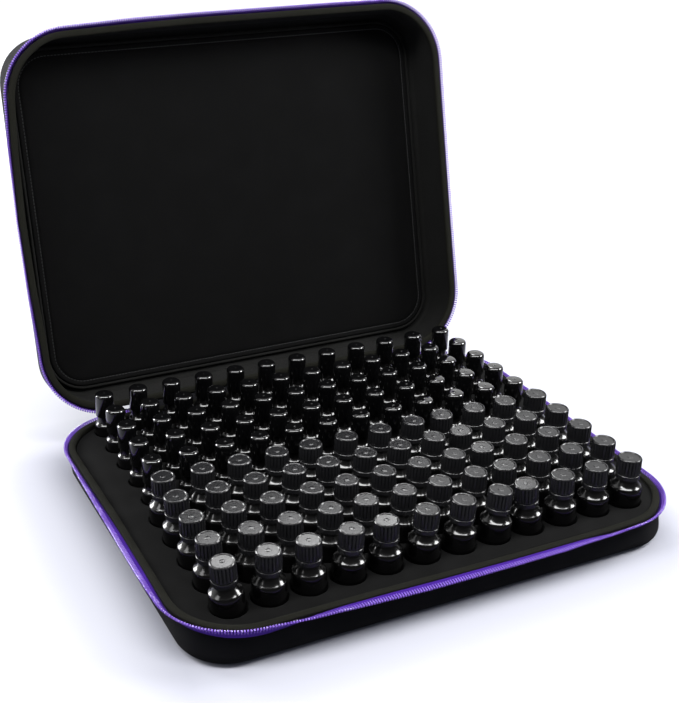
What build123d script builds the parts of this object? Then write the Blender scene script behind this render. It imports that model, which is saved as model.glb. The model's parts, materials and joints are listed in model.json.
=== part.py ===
from build123d import *
import os
from math import atan2, cos, degrees, pi, radians, sin, sqrt, tan

os.makedirs("parts", exist_ok=True)

# A zipped hard case for essential oil bottles. A shallow base holds a die-cut foam insert with
# twelve columns and ten rows of bottles, and a deeper lid with a padded panel stands open behind it.
# X runs along a row, Y from the front to the hinge, Z up. The origin is the middle of the underside.

# Case
columns = 12
rows = 10
roller_rows = 5
cell_pitch = 34.0
side_margin = 27.0
front_margin = 19.0
rear_margin = 7.0
rim_corner_radius = 60.0
base_height = 38.0
lid_height = 54.0
wall_draft = 3.0
shell_wall = 4.0
shell_edge_radius = 14.0
shell_inner_chamfer = 4.0
seat_gap = 0.1
parting_gap = 0.8
overrun = 1.0

# Rolled binding on the cut edge of each shell
binding_cover = 1.0
binding_height = 4.0
binding_chamfer = 1.5

# Zip: a tape that flares out from the wall, and the coil on its free edge
zip_overhang = 5.0
tape_thickness = 0.8
tape_height = 5.8
coil_width = 1.8
coil_height = 1.6

# Cloth hinge between the two ends of the zip
hinge_setback = 91.0
hinge_thickness = 1.2
hinge_gap = 0.6
lid_open_angle = 104.0
lid_zip_clearance = 12.0

# Zip sliders, parked at the ends of the base coil, and the stops behind them
stop_length = 2.6
stop_wall = 0.35
slider_length = 11.0
slider_gap = 0.3
slider_plate = 0.9
slider_clearance = 0.2
slider_lip = 0.5
slider_bridge = 1.0
lug_thickness = 1.0
lug_radius = 1.5
lug_clearance = 0.2
pin_radius = 0.6
pin_clearance = 0.08
pull_length = 22.0
pull_thickness = 1.2
pull_width = 5.2
pull_neck_width = 2.4
pull_neck_length = 4.0
pull_shoulder_length = 3.0
pull_eye_radius = 1.15

# Foam
floor_thickness = 4.0
foam_recess = 4.0
foam_clearance = 2.0
foam_chamfer = 3.0

# Padded panel in the lid
panel_side_margin = 12.0
panel_end_margin = 13.0
panel_corner_radius = 38.0
board_thickness = 3.0
board_inset = 8.0
cushion_edge = 3.4
cushion_crown = 2.4
piping_diameter = 3.0
piping_sides = 6

# Sides of the repeated bottles, and of the two sample bottles that come apart
dropper_sides = 8
roller_sides = 6
sample_sides = 14
ball_sides = 10
ball_bands = 6
row_shoulder_steps = 2
sample_shoulder_steps = 3

# Dropper bottle: glass, ribbed screw cap over a tamper ring, orifice reducer in the neck
dropper_radius = 14.2
dropper_body_height = 35.0
dropper_shoulder_height = 48.5
dropper_neck_height = 15.5
dropper_head = 4.0
dropper_wall = 1.8
dropper_heel = 1.5
dropper_neck_radius = 8.6
dropper_bore_radius = 6.8
dropper_socket_radius = 15.75
dropper_cap_radius = 10.6
dropper_cap_top_radius = 9.9
tamper_ring_height = 4.6
tamper_gap = 0.4
neck_clearance = 0.2
rib_count = 22
rib_depth = 0.45
cap_shoulder_height = 0.8
cap_rim_width = 1.2
cap_recess = 0.7
cap_ceiling = 1.6
reducer_flange_radius = 7.8
reducer_flange_height = 1.2
reducer_plug_depth = 7.0
reducer_bore_radius = 2.2
reducer_clearance = 0.05

# How far each dropper leans sideways in its socket, as shares of one angle
lean_angle = 4.0
lean_column_shares = (-1.0, -0.2, -0.2, 0.5, -0.1, 0.6, 0.7, 1.0, -0.8, -0.2, 0.0, 0.4)
lean_row_shares = (0.6, 0.9, 0.8, 0.7, 1.3)

# Roller bottle: glass, ball housing, steel ball and smooth cap
roller_radius = 10.0
roller_body_height = 31.5
roller_shoulder_height = 39.0
roller_cap_foot = 45.0
roller_lip_height = 49.0
roller_height = 68.0
roller_wall = 1.6
roller_heel = 1.2
roller_neck_radius = 7.4
roller_bore_radius = 5.6
roller_socket_radius = 10.9
roller_cap_radius = 8.95
roller_cap_wall = 1.2
roller_cap_round = 1.3
housing_flange_radius = 6.6
housing_height = 3.6
housing_plug_depth = 6.0
housing_foot_radius = 2.0
ball_radius = 4.6
ball_clearance = 0.12
ball_opening_radius = 4.3
ball_sink = 1.9

# Sizes and places worked out from those above
rim_width = columns * cell_pitch + 2 * side_margin
rim_depth = rows * cell_pitch + front_margin + rear_margin
field_shift = (front_margin - rear_margin) / 2
panel_width = rim_width - 2 * panel_side_margin
panel_depth = rim_depth - 2 * panel_end_margin
hinge_width = rim_width - 2 * hinge_setback
stand_z = shell_wall + floor_thickness
foam_height = base_height - foam_recess - stand_z
dropper_lip_height = dropper_shoulder_height + dropper_neck_height
dropper_height = dropper_lip_height + dropper_head
socket_middle = foam_height / 2
trim_depth = parting_gap / 2 + binding_height
hinge_y = rim_depth / 2 + zip_overhang
straight_half_width = rim_width / 2 - rim_corner_radius
tape_end = hinge_width / 2 + hinge_gap
coil_end = tape_end + stop_length + seat_gap
slider_x = coil_end + slider_gap + slider_length / 2
lid_zip_end = straight_half_width + lid_zip_clearance
cushion_back = lid_height - shell_wall - board_thickness
cushion_front = cushion_back - cushion_edge - cushion_crown


def drafted(distance):
    return distance * tan(radians(wall_draft))


# Both halves are first made with the rim plane at zero and the moulded floor below it.
def rim_block(offset, near, far, taper=wall_draft):
    """The rim's outline filled from near to far below the rim plane, offset outside the wall."""
    inset = drafted(near) - offset
    outline = RectangleRounded(rim_width - 2 * inset, rim_depth - 2 * inset, rim_corner_radius - inset)
    return extrude(Pos(0, 0, -near) * outline, amount=far - near, dir=(0, 0, -1), taper=taper)


def rim_ring(offset, thickness, near, far, taper=wall_draft):
    return rim_block(offset, near, far, taper) - rim_block(offset - thickness, near, far, taper)


def lowest_edges(solid):
    return solid.faces().sort_by(Axis.Z)[0].edges()


def shell_cup(height):
    outer = fillet(lowest_edges(rim_block(0, trim_depth, height)), shell_edge_radius)
    hollow = rim_block(-shell_wall, 0, height - shell_wall)
    return outer - chamfer(lowest_edges(hollow), shell_inner_chamfer)


def binding_ring():
    band = binding_cover + shell_wall + binding_cover
    ring = rim_ring(binding_cover, band, parting_gap / 2, trim_depth - seat_gap)
    return chamfer(ring.faces().sort_by(Axis.Z)[-1].edges(), binding_chamfer)


# Zip and cloth hinge: strips that lean out from a foot against the wall to the parting line
zip_height = coil_height + tape_height
zip_near = parting_gap / 2


def strip_flare(thickness):
    run = zip_overhang - thickness - seat_gap + drafted(zip_height)
    return degrees(atan2(run, zip_height))


def rear_span(half_width):
    return Pos(0, rim_depth / 2, 0) * Box(2 * half_width, rim_corner_radius, 2 * base_height)


def hinge_strip():
    flare = strip_flare(hinge_thickness)
    strip = rim_ring(zip_overhang, hinge_thickness, zip_near, zip_near + zip_height, flare)
    return strip & rear_span(hinge_width / 2)


def zip_tape(half_opening):
    flare = strip_flare(tape_thickness)
    near = zip_near + coil_height
    offset = zip_overhang - coil_height * tan(radians(flare)) + drafted(coil_height)
    return rim_ring(offset, tape_thickness, near, near + tape_height, flare) - rear_span(half_opening)


def zip_coil(half_opening):
    flare = strip_flare(tape_thickness)
    offset = zip_overhang + (coil_width - tape_thickness) / 2
    return rim_ring(offset, coil_width, zip_near, zip_near + coil_height, flare) - rear_span(half_opening)


# Metal parts of the zip are made along X on a coil whose top middle is the origin, with Z up the
# tape and Y out of its face, and then set on the rear run of the coil.
flare_angle = strip_flare(tape_thickness)
flare_sine = sin(radians(flare_angle))
flare_cosine = cos(radians(flare_angle))
coil_half = coil_width / 2 * flare_cosine
coil_top = coil_width / 2 * flare_sine
coil_foot = -coil_height / flare_cosine - coil_top
tape_half = tape_thickness / 2 * flare_cosine
tape_top = -coil_height / flare_cosine + tape_thickness / 2 * flare_sine


def on_rear_coil(x):
    y = hinge_y - drafted(zip_near) - tape_thickness / 2
    return Pos(x, y, base_height - zip_near) * Rot(X=-flare_angle)


def slab(length, half_thickness, low, high):
    """A block along the coil, as thick to either side of the tape and from low to high on it."""
    return Pos(0, 0, (low + high) / 2) * Box(length, 2 * half_thickness, high - low)


def end_stop():
    clamp = slab(stop_length, coil_half + stop_wall, coil_foot, coil_top)
    return clamp - slab(stop_length + overrun, tape_half + seat_gap, coil_foot - overrun, tape_top + seat_gap)


slider_inside = coil_half + slider_clearance
slider_half = slider_inside + slider_plate
slider_top = coil_top + slider_clearance + slider_bridge
slider_foot = coil_foot - slider_clearance - slider_lip
slider_middle = (slider_top + slider_foot) / 2
pin_y = slider_half + pull_eye_radius + lug_clearance
lug_spacing = pull_neck_width + 2 * lug_clearance


def slider_body():
    """Two plates and a bridge round the coil, with a pair of lugs and the pin of the pull."""
    body = slab(slider_length, slider_half, slider_foot, slider_top)
    body -= slab(slider_length + overrun, slider_inside, coil_foot - slider_clearance,
                 coil_top + slider_clearance)
    body -= slab(slider_length + overrun, tape_half + slider_clearance, slider_foot - overrun,
                 coil_foot)
    body = fillet(body.edges().filter_by(Axis.Y).group_by(Axis.Z)[-1], slider_bridge / 2)
    lug_profile = Pos(0, pin_y, 0) * Circle(lug_radius)
    lug_profile += Pos(0, (pin_y + slider_inside) / 2, 0) * Rectangle(2 * lug_radius, pin_y - slider_inside)
    for side in (-1, 1):
        middle = slider_middle + side * (lug_spacing + lug_thickness) / 2
        body += Pos(0, 0, middle) * extrude(lug_profile, amount=lug_thickness / 2, both=True)
    return body + Pos(0, pin_y, slider_middle) * Cylinder(pin_radius, lug_spacing + lug_thickness)


def pull_tab(side):
    """The pull lies flat, its tab towards side along X, and turns on the pin along Z."""
    shoulder = pull_neck_length + pull_shoulder_length
    points = [(0, pull_neck_width / 2), (pull_neck_length, pull_neck_width / 2),
              (shoulder, pull_width / 2), (pull_length, pull_width / 2)]
    points += [(x, -z) for x, z in reversed(points)]
    outline = Plane.XZ * make_face(Polyline(*points, close=True))
    tab = extrude(outline, amount=pull_thickness / 2, both=True)
    tab = fillet(tab.edges().filter_by(Axis.Y).group_by(Axis.X)[-1], pull_neck_width / 2)
    tab += Cylinder(pull_eye_radius, pull_neck_width)
    tab -= Cylinder(pin_radius + pin_clearance, pull_neck_width + overrun)
    turn = 0 if side > 0 else 180
    return Pos(0, pin_y, slider_middle) * Rot(Z=turn) * tab


# Padded panel of the lid
def panel_block(inset, near, far):
    outline = RectangleRounded(panel_width - 2 * inset, panel_depth - 2 * inset, panel_corner_radius - inset)
    return extrude(Pos(0, 0, -near) * outline, amount=far - near, dir=(0, 0, -1))


def pad_board():
    return panel_block(board_inset, cushion_back, cushion_back + board_thickness)


def pad_cushion():
    blank = panel_block(piping_diameter, cushion_front, cushion_back)
    reach = sqrt((panel_width / 2) ** 2 + (panel_depth / 2) ** 2) - panel_corner_radius / 2
    crown_radius = (reach**2 + cushion_crown**2) / (2 * cushion_crown)
    return blank & Pos(0, 0, -cushion_front - crown_radius) * Sphere(crown_radius)


def pad_piping():
    bead_radius = (piping_diameter - seat_gap) / 2
    inset = piping_diameter / 2
    outline = RectangleRounded(panel_width - 2 * inset, panel_depth - 2 * inset, panel_corner_radius - inset)
    path = Pos(0, 0, bead_radius - cushion_back) * outline.wire()
    bead = Plane(path @ 0, z_dir=path % 0) * RegularPolygon(bead_radius, piping_sides)
    return sweep(bead, path=path)


def on_base(shape):
    return Pos(0, 0, base_height) * shape


def on_lid(shape):
    """Mirrors a half onto the base's rim plane, and then swings it open about the hinge."""
    closed = Pos(0, -hinge_y, 0) * mirror(shape, about=Plane.XY)
    return Pos(0, hinge_y, base_height) * Rot(X=-lid_open_angle) * closed


# Foam
def bottle_place(column, row):
    x = (column - (columns - 1) / 2) * cell_pitch
    y = ((rows - 1) / 2 - row) * cell_pitch + field_shift
    return x, y


def foam_layer(low, high):
    """The foam between two heights of the base, inside the drafted wall."""
    return on_base(rim_block(-shell_wall - foam_clearance, base_height - high, base_height - low))


def foam_floor():
    sheet = foam_layer(shell_wall, stand_z)
    return chamfer(lowest_edges(sheet), foam_chamfer)


def foam_insert():
    sockets = Sketch()
    for row in range(rows):
        radius, sides = (roller_socket_radius, roller_sides) if row < roller_rows else (
            dropper_socket_radius, dropper_sides)
        socket = Rot(Z=180 / sides) * RegularPolygon(radius, sides, major_radius=False)
        sockets += [Pos(*bottle_place(column, row)) * socket for column in range(columns)]
    cutters = extrude(Pos(0, 0, stand_z - overrun) * sockets, amount=foam_height + 2 * overrun)
    return foam_layer(stand_z, stand_z + foam_height) - cutters


# Bottles
def ring_points(radius, height, sides, rib_share):
    points = []
    for k in range(sides):
        angle = 2 * pi * (k + 1 / 2) / sides
        reach = radius * (rib_share if k % 2 else 1)
        points.append(Vector(reach * cos(angle), reach * sin(angle), height))
    return points


def turning(profile, sides, rib_share=1, ring=False):
    """A turned piece with flat sides. The profile lists (radius, height) from one end face to the
    other, or all the way round where the piece is a ring. Ribs stand where every second side point
    is drawn in to rib_share of the radius."""
    loops = [ring_points(radius, height, sides, rib_share) for radius, height in profile]
    pairs = list(zip(loops, loops[1:]))
    ends = [reversed(loops[0]), loops[-1]]
    if ring:
        pairs.append((loops[-1], loops[0]))
        ends = []
    outlines = [[a[k - 1], a[k], b[k], b[k - 1]] for a, b in pairs for k in range(sides)]
    outlines += [list(end) for end in ends]
    return Solid(Shell([Face(Wire.make_polygon(outline, close=True)) for outline in outlines]))


def shoulder(body_radius, neck_radius, low, high, steps):
    """Rings on a quarter ellipse from the body's edge to the foot of the neck."""
    angles = [pi / 2 * step / steps for step in range(steps + 1)]
    return [(neck_radius + (body_radius - neck_radius) * cos(a), low + (high - low) * sin(a)) for a in angles]


def dropper_shoulder(wall, steps):
    neck = dropper_bore_radius if wall else dropper_neck_radius
    return shoulder(dropper_radius - wall, neck, dropper_body_height, dropper_shoulder_height, steps)


def roller_shoulder(wall, steps):
    neck = roller_bore_radius if wall else roller_neck_radius
    return shoulder(roller_radius - wall, neck, roller_body_height, roller_shoulder_height, steps)


def row_dropper_glass():
    return turning([(dropper_radius, 0)] + dropper_shoulder(0, row_shoulder_steps), dropper_sides)


def row_dropper_cap():
    profile = [(dropper_cap_radius, dropper_shoulder_height), (dropper_cap_top_radius, dropper_height)]
    return turning(profile, dropper_sides)


def row_roller_glass():
    neck_top = (roller_neck_radius, roller_cap_foot)
    return turning([(roller_radius, 0)] + roller_shoulder(0, 1) + [neck_top], roller_sides)


def row_roller_cap():
    return turning([(roller_cap_radius, roller_cap_foot), (roller_cap_radius, roller_height)], roller_sides)


def hollow_glass(radius, wall, heel, lip, bore, outside, inside):
    foot = [(radius - heel, 0), (radius, heel)]
    neck_radius = outside[-1][0]
    neck = [(neck_radius, lip), (bore, lip)]
    floor = [(radius - wall, wall + heel), (radius - wall - heel, wall)]
    return turning(foot + outside + neck + inside[::-1] + floor, sample_sides)


def dropper_glass():
    outside = dropper_shoulder(0, sample_shoulder_steps)
    inside = dropper_shoulder(dropper_wall, sample_shoulder_steps)
    return hollow_glass(dropper_radius, dropper_wall, dropper_heel, dropper_lip_height,
                        dropper_bore_radius, outside, inside)


def tamper_ring():
    inner = dropper_neck_radius + neck_clearance
    low = dropper_shoulder_height
    high = low + tamper_ring_height
    profile = [(dropper_cap_radius, low), (dropper_cap_radius, high), (inner, high), (inner, low)]
    return turning(profile, sample_sides, ring=True)


def dropper_cap():
    low = dropper_shoulder_height + tamper_ring_height + tamper_gap
    rib_top = dropper_height - cap_shoulder_height
    ribbed = turning([(dropper_cap_radius, low), (dropper_cap_radius, rib_top)], 2 * rib_count,
                     rib_share=1 - rib_depth / dropper_cap_radius)
    recess_radius = dropper_cap_top_radius - cap_rim_width
    recess_floor = dropper_height - cap_recess
    crown = turning([(dropper_cap_top_radius, rib_top), (dropper_cap_top_radius, dropper_height),
                     (recess_radius, dropper_height), (recess_radius, recess_floor)], sample_sides)
    ceiling = recess_floor - cap_ceiling
    bore = dropper_neck_radius + neck_clearance
    return ribbed + crown - turning([(bore, low - overrun), (bore, ceiling)], sample_sides)


def orifice_reducer():
    lip = dropper_lip_height
    top = lip + reducer_flange_height
    foot = lip - reducer_plug_depth
    plug = dropper_bore_radius - reducer_clearance
    profile = [(reducer_bore_radius, foot), (plug, foot), (plug, lip), (reducer_flange_radius, lip),
               (reducer_flange_radius, top), (reducer_bore_radius, top)]
    return turning(profile, sample_sides, ring=True)


def roller_glass():
    outside = roller_shoulder(0, sample_shoulder_steps)
    inside = roller_shoulder(roller_wall, sample_shoulder_steps)
    return hollow_glass(roller_radius, roller_wall, roller_heel, roller_lip_height,
                        roller_bore_radius, outside, inside)


housing_top = roller_lip_height + housing_height
ball_z = housing_top - ball_sink


def ball_housing():
    """A plug in the neck with a cup for the ball, drawn in at the mouth so that it stays in."""
    plug = roller_bore_radius - reducer_clearance
    foot = roller_lip_height - housing_plug_depth
    lip = roller_lip_height
    cup = (ball_radius + ball_clearance) / cos(pi / sample_sides)
    mouth = ball_opening_radius / cos(pi / sample_sides)
    cup_floor = ball_z - ball_radius
    profile = [(housing_foot_radius, foot), (plug, foot), (plug, lip), (housing_flange_radius, lip),
               (housing_flange_radius, housing_top), (mouth, housing_top), (cup, ball_z),
               (cup, cup_floor), (housing_foot_radius, cup_floor)]
    return turning(profile, sample_sides, ring=True)


def steel_ball():
    angles = [pi * (band + 1 / 2) / ball_bands - pi / 2 for band in range(ball_bands)]
    return turning([(ball_radius * cos(a), ball_z + ball_radius * sin(a)) for a in angles], ball_sides)


def roller_cap():
    inner = roller_cap_radius - roller_cap_wall
    ceiling = roller_height - roller_cap_wall
    foot = roller_cap_foot
    profile = [(inner, ceiling), (inner, foot), (roller_cap_radius, foot),
               (roller_cap_radius, roller_height - roller_cap_round),
               (roller_cap_radius - roller_cap_round, roller_height)]
    return turning(profile, sample_sides)


def upright(column, row):
    return Pos(*bottle_place(column, row), stand_z)


def lean_of(column, row):
    return lean_angle * lean_column_shares[column] * lean_row_shares[row - roller_rows]


def leaning(column, row, foot_radius):
    """Turns a dropper about the middle of its socket, raised so that its foot stays on the floor."""
    lean = lean_of(column, row)
    tilt = radians(abs(lean))
    raised = foot_radius * sin(tilt) - socket_middle * (1 - cos(tilt))
    x, y = bottle_place(column, row)
    return Pos(x, y, stand_z + socket_middle + raised) * Rot(Y=lean) * Pos(0, 0, -socket_middle)


# The first bottle of the back row and of the front row are the samples, made one by one.
def row_group(shape, row, place):
    first = 1 if row in (0, rows - 1) else 0
    return Compound(children=[place(column, row) * shape for column in range(first, columns)])


def leaning_row(column, row):
    return leaning(column, row, dropper_radius * cos(pi / dropper_sides))


parts = {
    "base_shell": on_base(shell_cup(base_height)),
    "base_binding": on_base(binding_ring()),
    "base_zip_tape": on_base(zip_tape(tape_end)),
    "base_zip_coil": on_base(zip_coil(coil_end)),
    "hinge_panel_base": on_base(hinge_strip()),
    "foam_floor": foam_floor(),
    "foam_insert": foam_insert(),
    "lid_shell": on_lid(shell_cup(lid_height)),
    "lid_binding": on_lid(binding_ring()),
    "lid_zip_tape": on_lid(zip_tape(lid_zip_end)),
    "lid_zip_coil": on_lid(zip_coil(lid_zip_end)),
    "hinge_panel_lid": on_lid(hinge_strip()),
    "pad_board": on_lid(pad_board()),
    "pad_cushion": on_lid(pad_cushion()),
    "pad_piping": on_lid(pad_piping()),
}

for name, side in (("left", -1), ("right", 1)):
    parts[f"zip_stop_{name}"] = on_rear_coil(side * (tape_end + stop_length / 2)) * end_stop()
    parts[f"slider_{name}"] = on_rear_coil(side * slider_x) * slider_body()
    parts[f"pull_{name}"] = on_rear_coil(side * slider_x) * pull_tab(side)

dropper_sample = leaning(0, rows - 1, (dropper_radius - dropper_heel) * cos(pi / sample_sides))
parts["dropper_glass"] = dropper_sample * dropper_glass()
parts["dropper_reducer"] = dropper_sample * orifice_reducer()
parts["dropper_tamper_ring"] = dropper_sample * tamper_ring()
parts["dropper_cap"] = dropper_sample * dropper_cap()

roller_sample = upright(0, 0)
parts["roller_glass"] = roller_sample * roller_glass()
parts["roller_housing"] = roller_sample * ball_housing()
parts["roller_ball"] = roller_sample * steel_ball()
parts["roller_cap"] = roller_sample * roller_cap()

for row in range(rows):
    number = row + 1
    if row < roller_rows:
        parts[f"roller_glass_row_{number}"] = row_group(row_roller_glass(), row, upright)
        parts[f"roller_caps_row_{number}"] = row_group(row_roller_cap(), row, upright)
    else:
        parts[f"dropper_glass_row_{number}"] = row_group(row_dropper_glass(), row, leaning_row)
        parts[f"dropper_caps_row_{number}"] = row_group(row_dropper_cap(), row, leaning_row)

for name, shape in parts.items():
    export_step(shape, f"parts/{name}.step")
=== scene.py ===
# %% [markdown]
# A zipped hard case for essential oil bottles, dressed for a picture.
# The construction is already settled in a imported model, which the first cell loads as a fixed frame.
# Everything here is drawn round that frame in metres, and each piece rides on the body that carries
# it, so that the lid still swings and the bottles still lift out.

# %% The frame
import json
from math import atan2, cos, degrees, pi, radians, sin, tan

import bmesh
import bpy
import numpy as np
from mathutils import Matrix, Vector


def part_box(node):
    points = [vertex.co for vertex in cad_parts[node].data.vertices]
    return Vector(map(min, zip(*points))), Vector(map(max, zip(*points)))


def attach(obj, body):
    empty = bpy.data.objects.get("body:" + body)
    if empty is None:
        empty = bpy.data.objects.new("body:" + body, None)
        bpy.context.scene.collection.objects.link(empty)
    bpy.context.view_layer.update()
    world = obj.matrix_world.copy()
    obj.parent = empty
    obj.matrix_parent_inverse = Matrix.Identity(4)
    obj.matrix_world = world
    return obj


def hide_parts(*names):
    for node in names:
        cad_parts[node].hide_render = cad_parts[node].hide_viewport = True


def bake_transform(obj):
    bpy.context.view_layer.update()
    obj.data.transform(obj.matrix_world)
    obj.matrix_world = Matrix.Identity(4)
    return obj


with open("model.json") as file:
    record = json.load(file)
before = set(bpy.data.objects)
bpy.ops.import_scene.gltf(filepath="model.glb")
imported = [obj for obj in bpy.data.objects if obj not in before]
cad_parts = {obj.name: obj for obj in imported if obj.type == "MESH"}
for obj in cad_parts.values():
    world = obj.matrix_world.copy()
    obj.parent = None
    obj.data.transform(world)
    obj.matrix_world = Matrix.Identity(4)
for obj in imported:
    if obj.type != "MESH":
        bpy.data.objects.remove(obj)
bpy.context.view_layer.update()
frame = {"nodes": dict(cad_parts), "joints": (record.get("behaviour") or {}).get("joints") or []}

# %% [markdown]
# Both halves of the case share one rim: a rounded rectangle. The walls lean in a little below it,
# because the case is pressed in a mould and has to come out again. Each half is drawn first with the
# rim plane at zero and its floor below, and is then set down as the base or turned over as the lid.

# %% The case's own sizes
rim_width, rim_depth, rim_corner = 0.462, 0.366, 0.060
base_height, lid_height = 0.038, 0.054
wall_draft = radians(3)
wall = 0.004
up = Vector((0, 0, 1))
hinge = next(joint for joint in frame["joints"] if joint["name"] == "lid_hinge")
hinge_line = Vector(hinge["pos_m"])
opened = Matrix.Translation(hinge_line) @ Matrix.Rotation(radians(hinge["range_deg"][0]), 4, "X")
lid_swing = opened @ Matrix.Translation((0, -hinge_line.y, 0))
height_of = {"base": base_height, "lid": lid_height}
place_of = {"base": Matrix.Translation((0, 0, base_height)),
            "lid": lid_swing @ Matrix.Scale(-1, 4, up)}


def drafted(depth):
    """How far the wall has leaned in at a depth below the rim."""
    return depth * tan(wall_draft)


def rim_outline(offset, depth, tightened=0.0):
    """Width, depth, corner radius and height of the rim's outline, offset outside the rim."""
    return rim_width + 2 * offset, rim_depth + 2 * offset, rim_corner + offset - tightened, -depth


print("lid stands open by", -hinge["range_deg"][0], "degrees")

# %% [markdown]
# Many pieces follow the rim: the binding, the zip tapes, the teeth. Two small functions answer the
# questions that they all ask. One walks a distance along the rim, from the middle of the back and
# anticlockwise, and says where that is. The other takes a point and says how far along it lies.

# %% Walking round the rim
side_run = rim_width / 2 - rim_corner
end_run = rim_depth / 2 - rim_corner
corner_run = rim_corner * pi / 2
rim_walk = (side_run, corner_run, 2 * end_run, corner_run, 2 * side_run, corner_run, 2 * end_run,
            corner_run, side_run)
rim_length = sum(rim_walk)


def direction(angle):
    return Vector((cos(angle), sin(angle), 0))


def rim_point(along):
    """The point at that distance along the rim, and the outward direction there."""
    place, heading = Vector((0, rim_depth / 2, 0)), pi
    for number, length in enumerate(rim_walk):
        part = min(along, length)
        if number % 2 == 0:
            place += part * direction(heading)
        else:
            centre = place + rim_corner * direction(heading + pi / 2)
            heading += part / rim_corner
            place = centre + rim_corner * direction(heading - pi / 2)
        along -= part
        if along <= 0:
            break
    return place, direction(heading - pi / 2)


def rim_along(point):
    """How far along the rim a point near it lies."""
    near = Vector((max(-side_run, min(side_run, point.x)), max(-end_run, min(end_run, point.y))))
    out = point.xy - near
    turned = (atan2(out.y, out.x) - pi / 2) % (2 * pi)
    side = int((turned + 1e-5) / (pi / 2)) % 4
    if side == 0 and near.x > 0:
        side, turned = 4, 2 * pi
    straight = (-near.x, side_run + end_run - near.y, 2 * side_run + 2 * end_run + near.x,
                3 * side_run + 3 * end_run + near.y, 4 * side_run + 4 * end_run - near.x)[side]
    return straight + rim_corner * turned


print("the rim is", round(rim_length, 3), "m round")

# %% [markdown]
# A case of cloth and foam never stays as true as its mould. The front of this base has sagged towards
# the right, and one corner of the lid is rounder than the others. Both are lists of (place along the
# rim, give outwards, give upwards). The give fades out down the wall to nothing at the floor.

# %% How the rims give
gives = {
    "base": ((0.27, 0, 0), (0.39, -0.0012, 0), (0.50, -0.0005, 0), (0.64, 0, 0), (0.70, 0, -0.0003),
             (0.76, 0.0008, -0.0008), (0.82, 0.0012, -0.0013), (0.92, 0.0010, -0.0013),
             (1.00, -0.0025, -0.0010), (1.10, -0.0005, -0.0005), (1.20, 0, 0)),
    "lid": ((0.27, 0, 0), (0.33, 0.003, 0), (0.40, 0.0045, 0), (0.47, 0.002, 0), (0.53, -0.003, 0),
            (0.565, -0.0045, 0), (0.61, -0.0035, 0), (0.68, -0.001, 0), (0.74, 0, 0)),
}


def give_at(half, along, held):
    """How far the rim's wall has moved there, for a depth where that share of the give is left."""
    places, outwards, upwards = zip(*gives[half])
    _, outward = rim_point(along)
    return held * (outward * float(np.interp(along, places, outwards))
                   + up * float(np.interp(along, places, upwards)))


def let_give(piece, half):
    """Moves a piece that was drawn with the rim plane at zero."""
    for v in piece.data.vertices:
        held = max(0.0, min(1.0, 1 + v.co.z / height_of[half]))
        v.co += give_at(half, rim_along(v.co), held)


# %% [markdown]
# Modelling by hand in Blender means adding a primitive, selecting part of it and shaping that.
# The next helpers do the selecting in code, by where things are, so that each operator afterwards
# acts on just what it should.

# %% Selecting and finishing
def select_only(piece):
    bpy.ops.object.select_all(action="DESELECT")
    bpy.context.view_layer.objects.active = piece
    piece.select_set(True)


def edit(piece):
    """Opens one piece, and nothing else, in edit mode, with all of it selected."""
    select_only(piece)
    bpy.ops.object.mode_set(mode="EDIT")
    bpy.ops.mesh.select_all(action="SELECT")


def leave_edit(outwards=False):
    """Goes back to object mode, and can turn every face outwards before that."""
    if outwards:
        bpy.ops.mesh.select_all(action="SELECT")
        bpy.ops.mesh.normals_make_consistent(inside=False)
    bpy.ops.object.mode_set(mode="OBJECT")


def pick(kind, test):
    """In edit mode, selects the vertices, edges or faces that pass a test, and nothing else."""
    bpy.ops.mesh.select_mode(type=kind)
    bpy.ops.mesh.select_all(action="DESELECT")
    mesh = bpy.context.object.data
    shape = bmesh.from_edit_mesh(mesh)
    shape.verts.index_update()
    for element in getattr(shape, kind.lower() + "s"):
        if test(element):
            element.select_set(True)
    shape.select_flush_mode()
    bmesh.update_edit_mesh(mesh)


def stretch(factors, centre=(0, 0, 0)):
    bpy.ops.transform.resize(value=factors, center_override=centre)


def primitive(name, add, **settings):
    """A new piece that starts as one of Blender's primitives."""
    bpy.ops.object.select_all(action="DESELECT")
    add(**settings)
    piece = bpy.context.object
    piece.name = name
    return piece


def finish_with(piece, kind, **settings):
    """Adds a modifier and applies it."""
    select_only(piece)
    modifier = piece.modifiers.new(kind.title(), kind)
    for name, value in settings.items():
        setattr(modifier, name, value)
    bpy.ops.object.modifier_apply(modifier=modifier.name)


def face_outwards(piece):
    edit(piece)
    leave_edit(outwards=True)


def smooth(piece, angle):
    select_only(piece)
    bpy.ops.object.shade_smooth_by_angle(angle=radians(angle))


def put(piece, place):
    """Sets a piece down by moving its mesh, and keeps a mirrored one right side out."""
    piece.data.transform(place)
    if place.determinant() < 0:
        piece.data.flip_normals()


# %% [markdown]
# A shell, a binding and a piped edge are all the same kind of form: a rounded rectangle that changes
# its size from level to level. Each level starts as a plane, whose corners are rounded by a vertex
# bevel. Then neighbouring levels are bridged. It is like laying ribs and planking over them.

# %% Forms that follow a rounded rectangle
def add_outline(width, depth, radius, height, arc_steps, side_cuts):
    before = len(bmesh.from_edit_mesh(bpy.context.object.data).verts)
    bpy.ops.mesh.primitive_plane_add(size=1, location=(0, 0, height))
    stretch((width, depth, 1), (0, 0, height))
    bpy.ops.mesh.bevel(offset=radius, segments=arc_steps, affect="VERTICES")
    bpy.ops.mesh.delete(type="ONLY_FACE")

    def on_side(edge):
        one, two = (v.co for v in edge.verts)
        straight = min(abs(one.x - two.x), abs(one.y - two.y)) < 1e-7
        return straight and min(v.index for v in edge.verts) >= before

    if side_cuts:
        pick("EDGE", on_side)
        bpy.ops.mesh.subdivide(number_cuts=side_cuts)


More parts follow.
